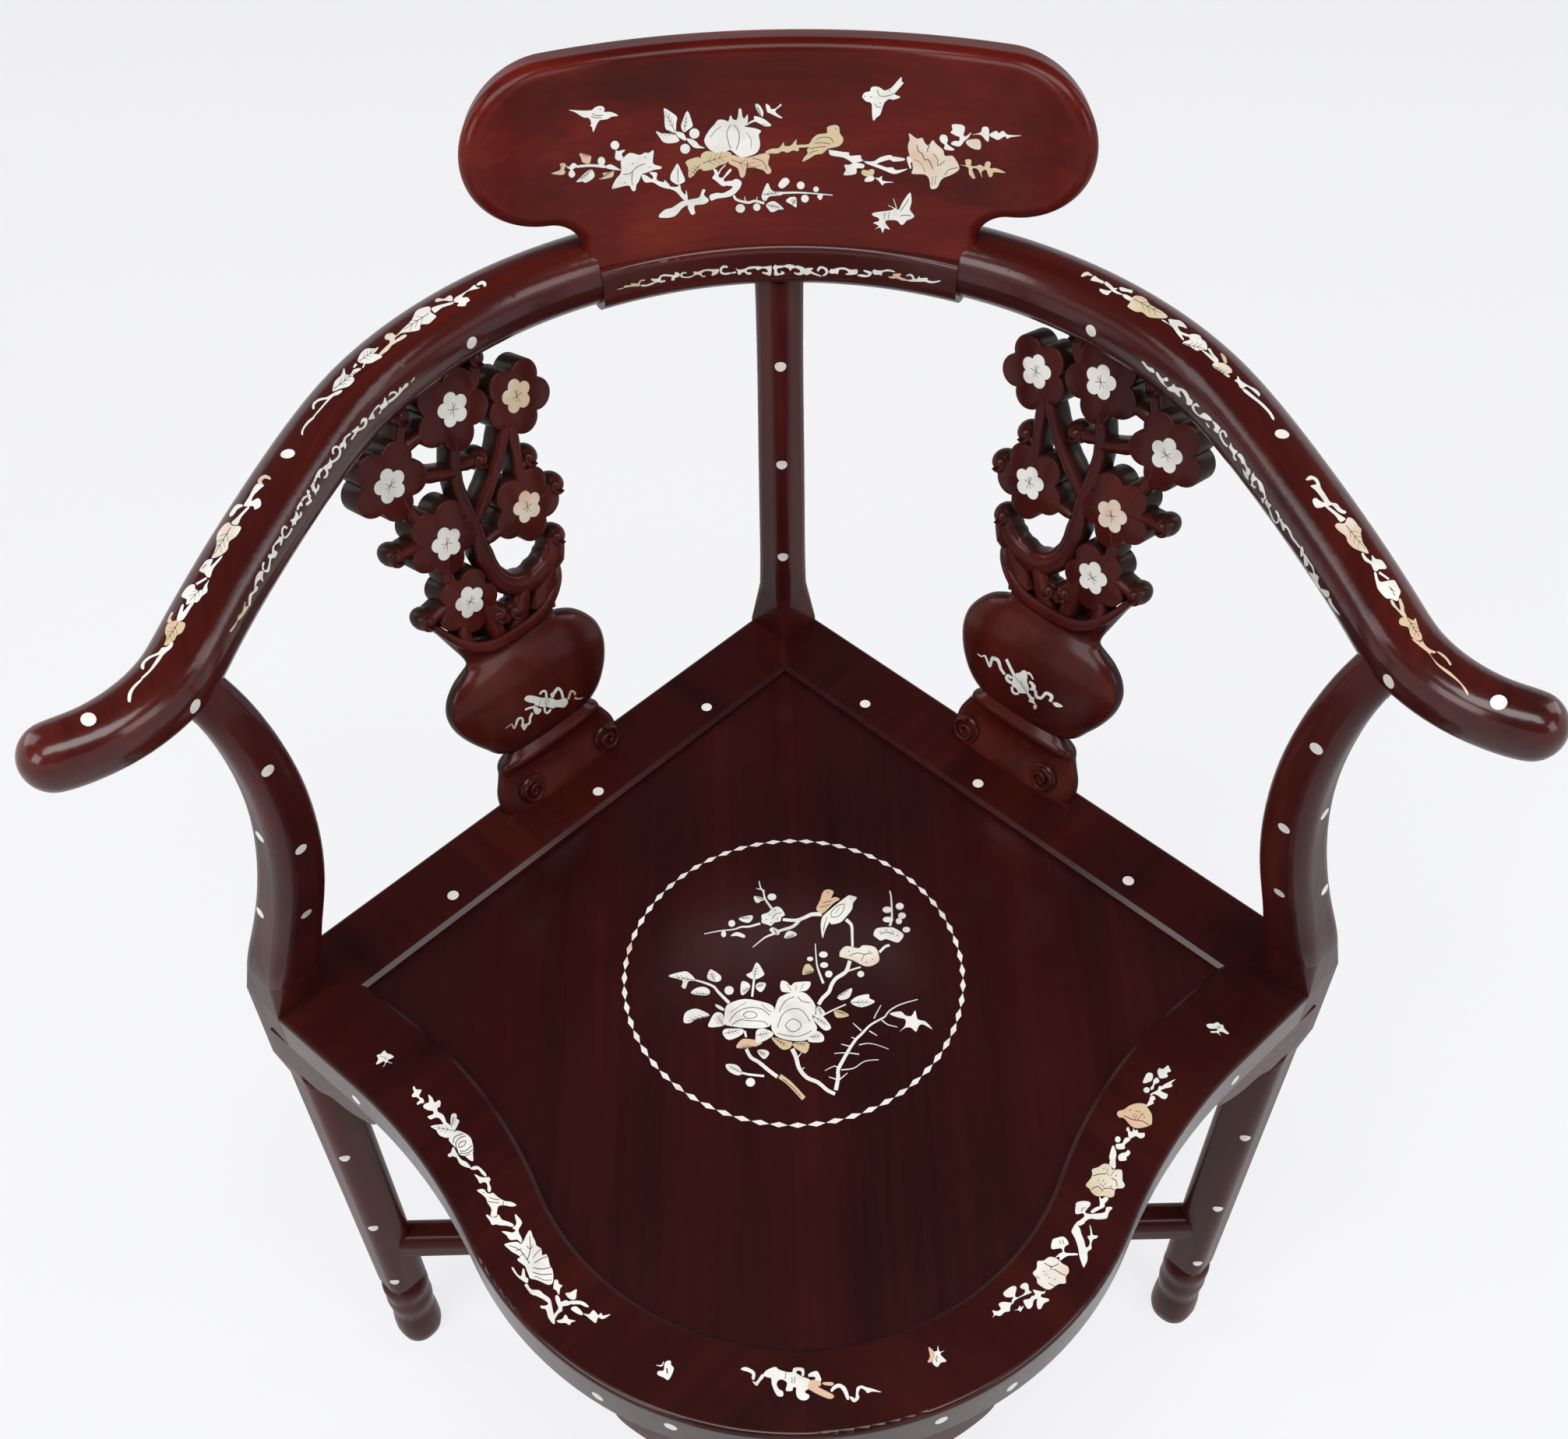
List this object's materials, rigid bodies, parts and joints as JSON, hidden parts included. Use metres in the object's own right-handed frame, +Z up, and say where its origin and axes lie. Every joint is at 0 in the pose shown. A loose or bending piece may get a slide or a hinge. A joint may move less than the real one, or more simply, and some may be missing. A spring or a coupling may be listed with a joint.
{
  "type": "corner chair",
  "caption": "Corner chair with a bow-fronted diamond seat, a yoke-shaped arm rail curling out at the front, a hollow headboard, carved vase splats and shell inlay",
  "frame": {"origin": "on the floor, in the middle of the bounding box, so close under the middle of the seat", "axes": "+X to the right as seen from the front, +Y to the rear corner post, +Z up; the sitter faces -Y"},
  "size_m": [0.6734, 0.5953, 0.8826],
  "materials": {
    "rosewood": "glossy",
    "rosewood_red": "glossy",
    "rosewood_panel": "high gloss",
    "inner_wood": "bare",
    "shell": "pearly"
  },
  "bodies": {
    "root": {"arm_left": "rosewood", "arm_right": "rosewood", "back_post": "rosewood", "back_rail_left": "rosewood", "back_rail_right": "rosewood", "bracket_back_left": "rosewood", "bracket_back_right": "rosewood", "bracket_front_left": "rosewood", "bracket_front_right": "rosewood", "bracket_side_back_left": "rosewood", "bracket_side_back_right": "rosewood", "bracket_side_front_left": "rosewood", "bracket_side_front_right": "rosewood", "dots_arms": "shell", "dots_posts": "shell", "dots_rails": "shell", "front_leg": "rosewood", "front_rail_key": "inner_wood", "front_rail_left": "rosewood", "front_rail_right": "rosewood", "headboard": "rosewood_red", "headboard_dowels": "inner_wood", "medallion_ring": "shell", "seat_batten_back": "inner_wood", "seat_batten_front": "inner_wood", "seat_panel": "rosewood_panel", "side_post_left": "rosewood", "side_post_right": "rosewood", "splat_blossoms_left": "shell", "splat_blossoms_right": "shell", "splat_left": "rosewood", "splat_right": "rosewood", "stretcher_front_back": "rosewood", "stretcher_side": "rosewood", "yoke_center": "rosewood", "yoke_tenons": "inner_wood"}
  },
  "joints": []
}
